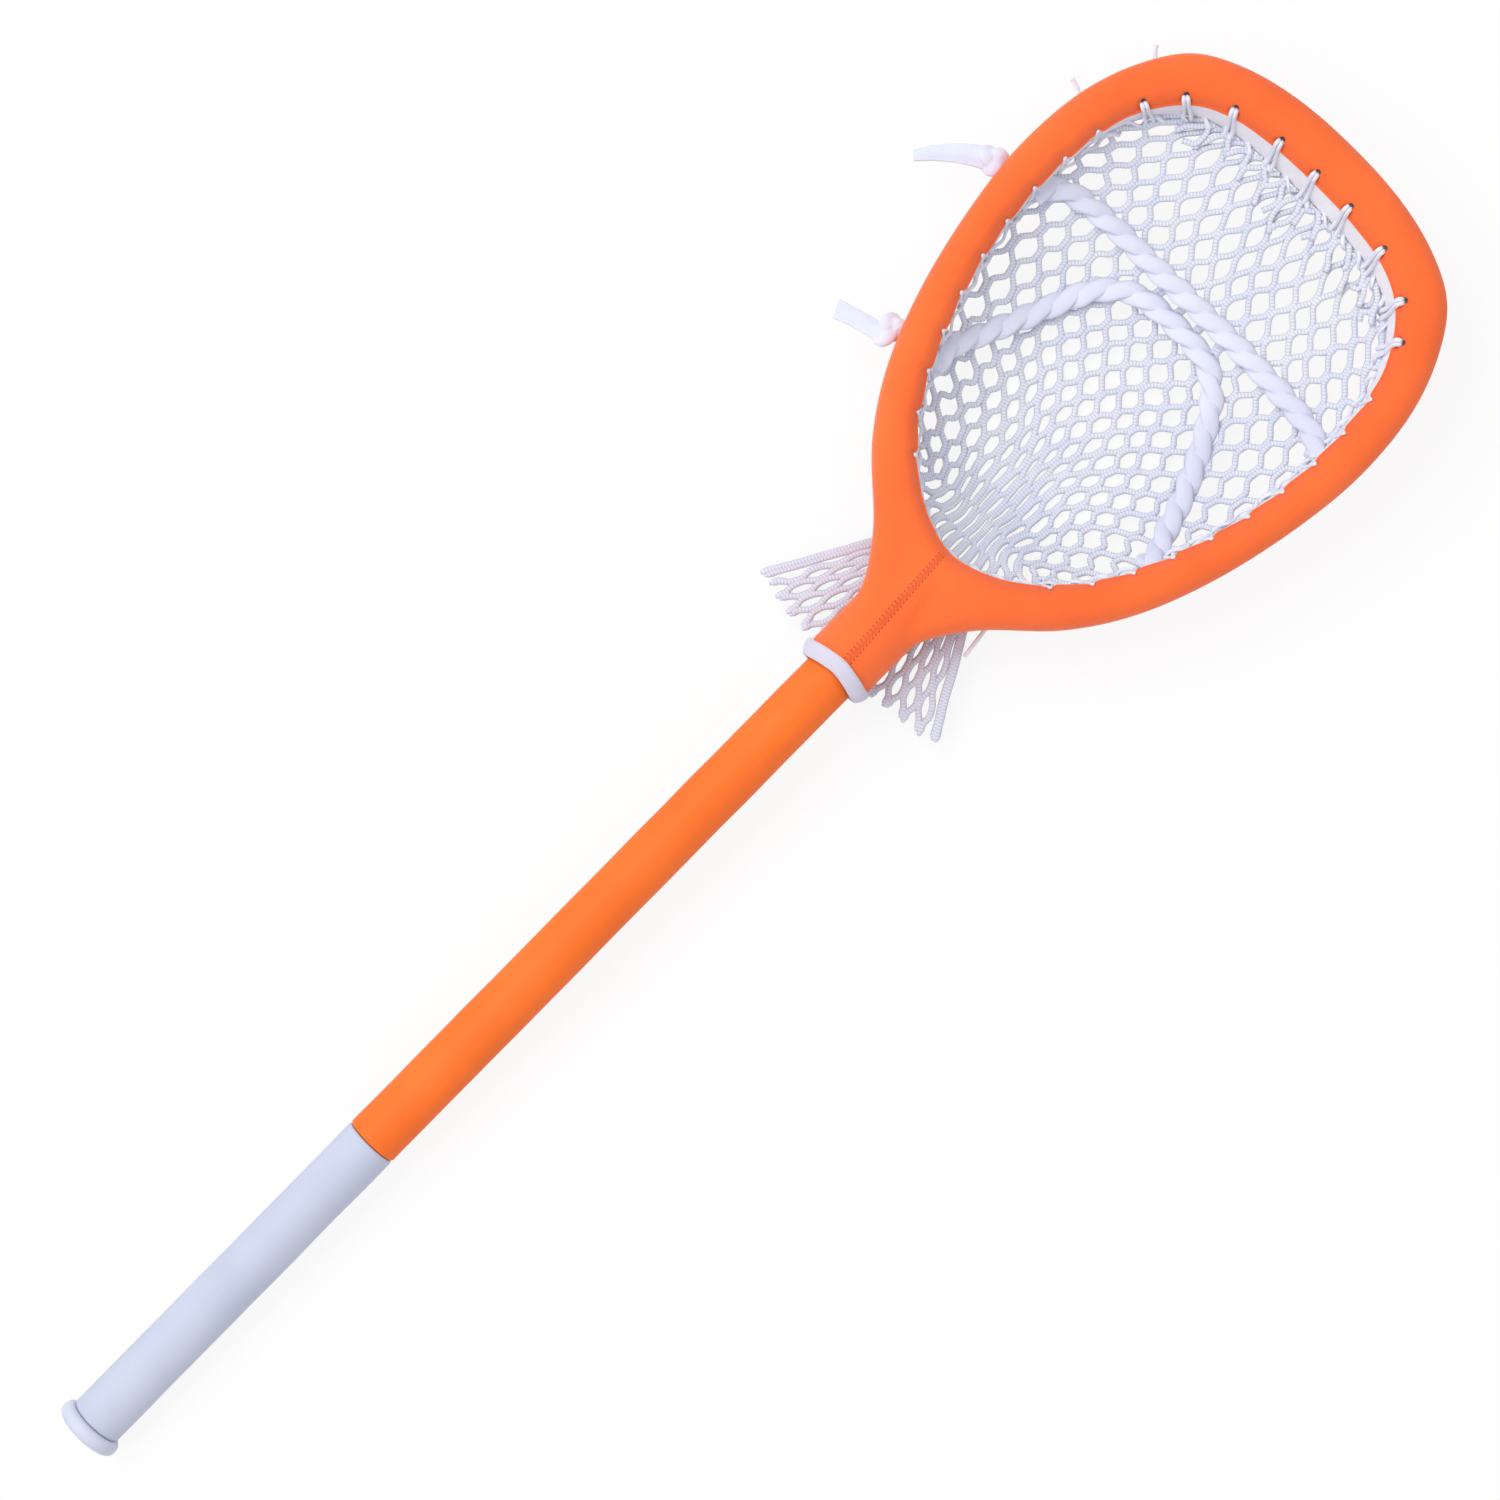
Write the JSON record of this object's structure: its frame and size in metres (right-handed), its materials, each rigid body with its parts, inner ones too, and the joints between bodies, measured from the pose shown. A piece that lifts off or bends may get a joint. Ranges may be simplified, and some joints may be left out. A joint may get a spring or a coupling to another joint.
{
  "type": "lacrosse goalie stick",
  "caption": "Lacrosse goalie stick with a wide padded orange head, knitted white mesh pocket, shooting strings, foam-sleeved round handle and white grip with butt cap.",
  "frame": {"origin": "middle of the butt cap's flat end face, on the handle's axis", "axes": "+Y up the handle to the scoop, +X to the right seen from above, +Z out of the pocket's open side"},
  "size_m": [0.3223, 1.05, 0.074],
  "materials": {
    "cover_orange": "matte knitted-face cover",
    "sleeve_orange": "smooth satin foam skin",
    "seam_orange": "overlock stitching",
    "grip_white": "matte",
    "webbing_white": "woven band",
    "net_white": "knitted cord",
    "lace_white": "round lace",
    "string_white": "soft flat lace",
    "padding_foam": "closed-cell foam",
    "frame_plastic": "moulded",
    "tube_metal": "drawn",
    "screw_steel": "plain"
  },
  "bodies": {
    "root": {"butt_cap": "grip_white", "grip_sleeve": "grip_white", "handle_tube": "tube_metal", "handle_sleeve": "sleeve_orange", "head_frame": "frame_plastic", "head_screw": "screw_steel", "front_padding": "padding_foam", "back_padding": "padding_foam", "inner_band": "webbing_white", "head_cover": "cover_orange", "throat_collar": "webbing_white", "throat_seam": "seam_orange", "pocket_net": "net_white", "net_tail": "net_white", "throat_lace": "lace_white", "right_side_lace": "lace_white", "left_side_lace": "lace_white", "top_lace": "lace_white", "upper_shooting_string": "string_white", "lower_shooting_string": "string_white", "upper_string_knot": "string_white", "lower_string_knot": "string_white", "upper_string_tail": "string_white", "lower_string_tail": "string_white", "scoop_lace_end": "lace_white", "side_lace_end": "lace_white", "throat_lace_end": "lace_white"}
  },
  "joints": []
}
